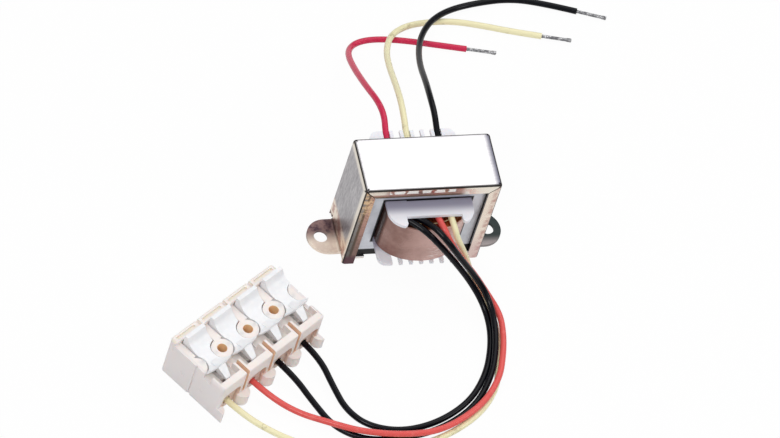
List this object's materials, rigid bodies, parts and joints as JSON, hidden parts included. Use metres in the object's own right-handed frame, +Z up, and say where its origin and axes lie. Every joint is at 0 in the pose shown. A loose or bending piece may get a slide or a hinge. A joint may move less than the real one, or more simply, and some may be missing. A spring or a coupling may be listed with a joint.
{
  "type": "speaker line transformer",
  "caption": "Small open-frame audio line transformer in a bright channel frame with mounting ears, coloured flying leads and a lever-release terminal block.",
  "frame": {"origin": "centre of the transformer's footprint, on the surface that its mounting ears rest on", "axes": "+X along the line of the mounting ears, +Y from the terminal block leads to the tinned leads, +Z up"},
  "size_m": [0.1702, 0.171, 0.0383],
  "materials": {
    "bright_plated_sheet": "bright plated sheet, thin brown tint on the folds",
    "core_steel": "stacked sheet edges, satin",
    "bobbin_white": "smooth white moulding",
    "coil_tape": "glossy brown film tape",
    "copper_wire": "enamelled wire",
    "insulation_film": "thin film",
    "lead_crimson": "smooth insulation",
    "lead_coral": "smooth insulation",
    "lead_yellow": "smooth insulation",
    "lead_black": "smooth insulation",
    "tinned_wire": "tinned strands",
    "block_ivory": "ivory moulding",
    "lever_white": "white moulding",
    "contact_brass": "plain strip",
    "spring_steel": "bent strip"
  },
  "bodies": {
    "transformer": {"channel_frame": "bright_plated_sheet", "e_lamination_stack": "core_steel", "i_lamination_stack": "core_steel", "bobbin": "bobbin_white", "outer_tape": "coil_tape", "secondary_winding": "copper_wire", "primary_winding": "copper_wire", "interlayer_insulation": "insulation_film", "rear_red_lead": "lead_crimson", "rear_yellow_lead": "lead_yellow", "rear_black_lead": "lead_black", "front_yellow_lead": "lead_yellow", "front_red_lead": "lead_coral", "front_black_left_lead": "lead_black", "front_black_right_lead": "lead_black", "rear_red_tip": "tinned_wire", "rear_yellow_tip": "tinned_wire", "rear_black_tip": "tinned_wire", "terminal_housing": "block_ivory", "yellow_bare_end": "tinned_wire", "red_bare_end": "tinned_wire", "black_left_bare_end": "tinned_wire", "black_right_bare_end": "tinned_wire", "contact_rail_1": "contact_brass", "clamp_spring_1": "spring_steel", "contact_rail_2": "contact_brass", "clamp_spring_2": "spring_steel", "contact_rail_3": "contact_brass", "clamp_spring_3": "spring_steel", "contact_rail_4": "contact_brass", "clamp_spring_4": "spring_steel"},
    "lever_1": {"lever_1": "lever_white"},
    "lever_2": {"lever_2": "lever_white"},
    "lever_3": {"lever_3": "lever_white"},
    "lever_4": {"lever_4": "lever_white"}
  },
  "joints": [
    {"name": "lever_1_press", "type": "hinge", "parent": "transformer", "child": "lever_1", "pos_m": [-0.07601, -0.05251, 0.0134], "axis": [0.8221, 0.5693, 0], "range_deg": [0, 10], "stiffness_Nm_per_rad": 0.05},
    {"name": "lever_2_press", "type": "hinge", "parent": "transformer", "child": "lever_2", "pos_m": [-0.06647, -0.0459, 0.0134], "axis": [0.8221, 0.5693, 0], "range_deg": [0, 10], "stiffness_Nm_per_rad": 0.05},
    {"name": "lever_3_press", "type": "hinge", "parent": "transformer", "child": "lever_3", "pos_m": [-0.05693, -0.0393, 0.0134], "axis": [0.8221, 0.5693, 0], "range_deg": [0, 10], "stiffness_Nm_per_rad": 0.05},
    {"name": "lever_4_press", "type": "hinge", "parent": "transformer", "child": "lever_4", "pos_m": [-0.04739, -0.0327, 0.0134], "axis": [0.8221, 0.5693, 0], "range_deg": [0, 10], "stiffness_Nm_per_rad": 0.05}
  ]
}
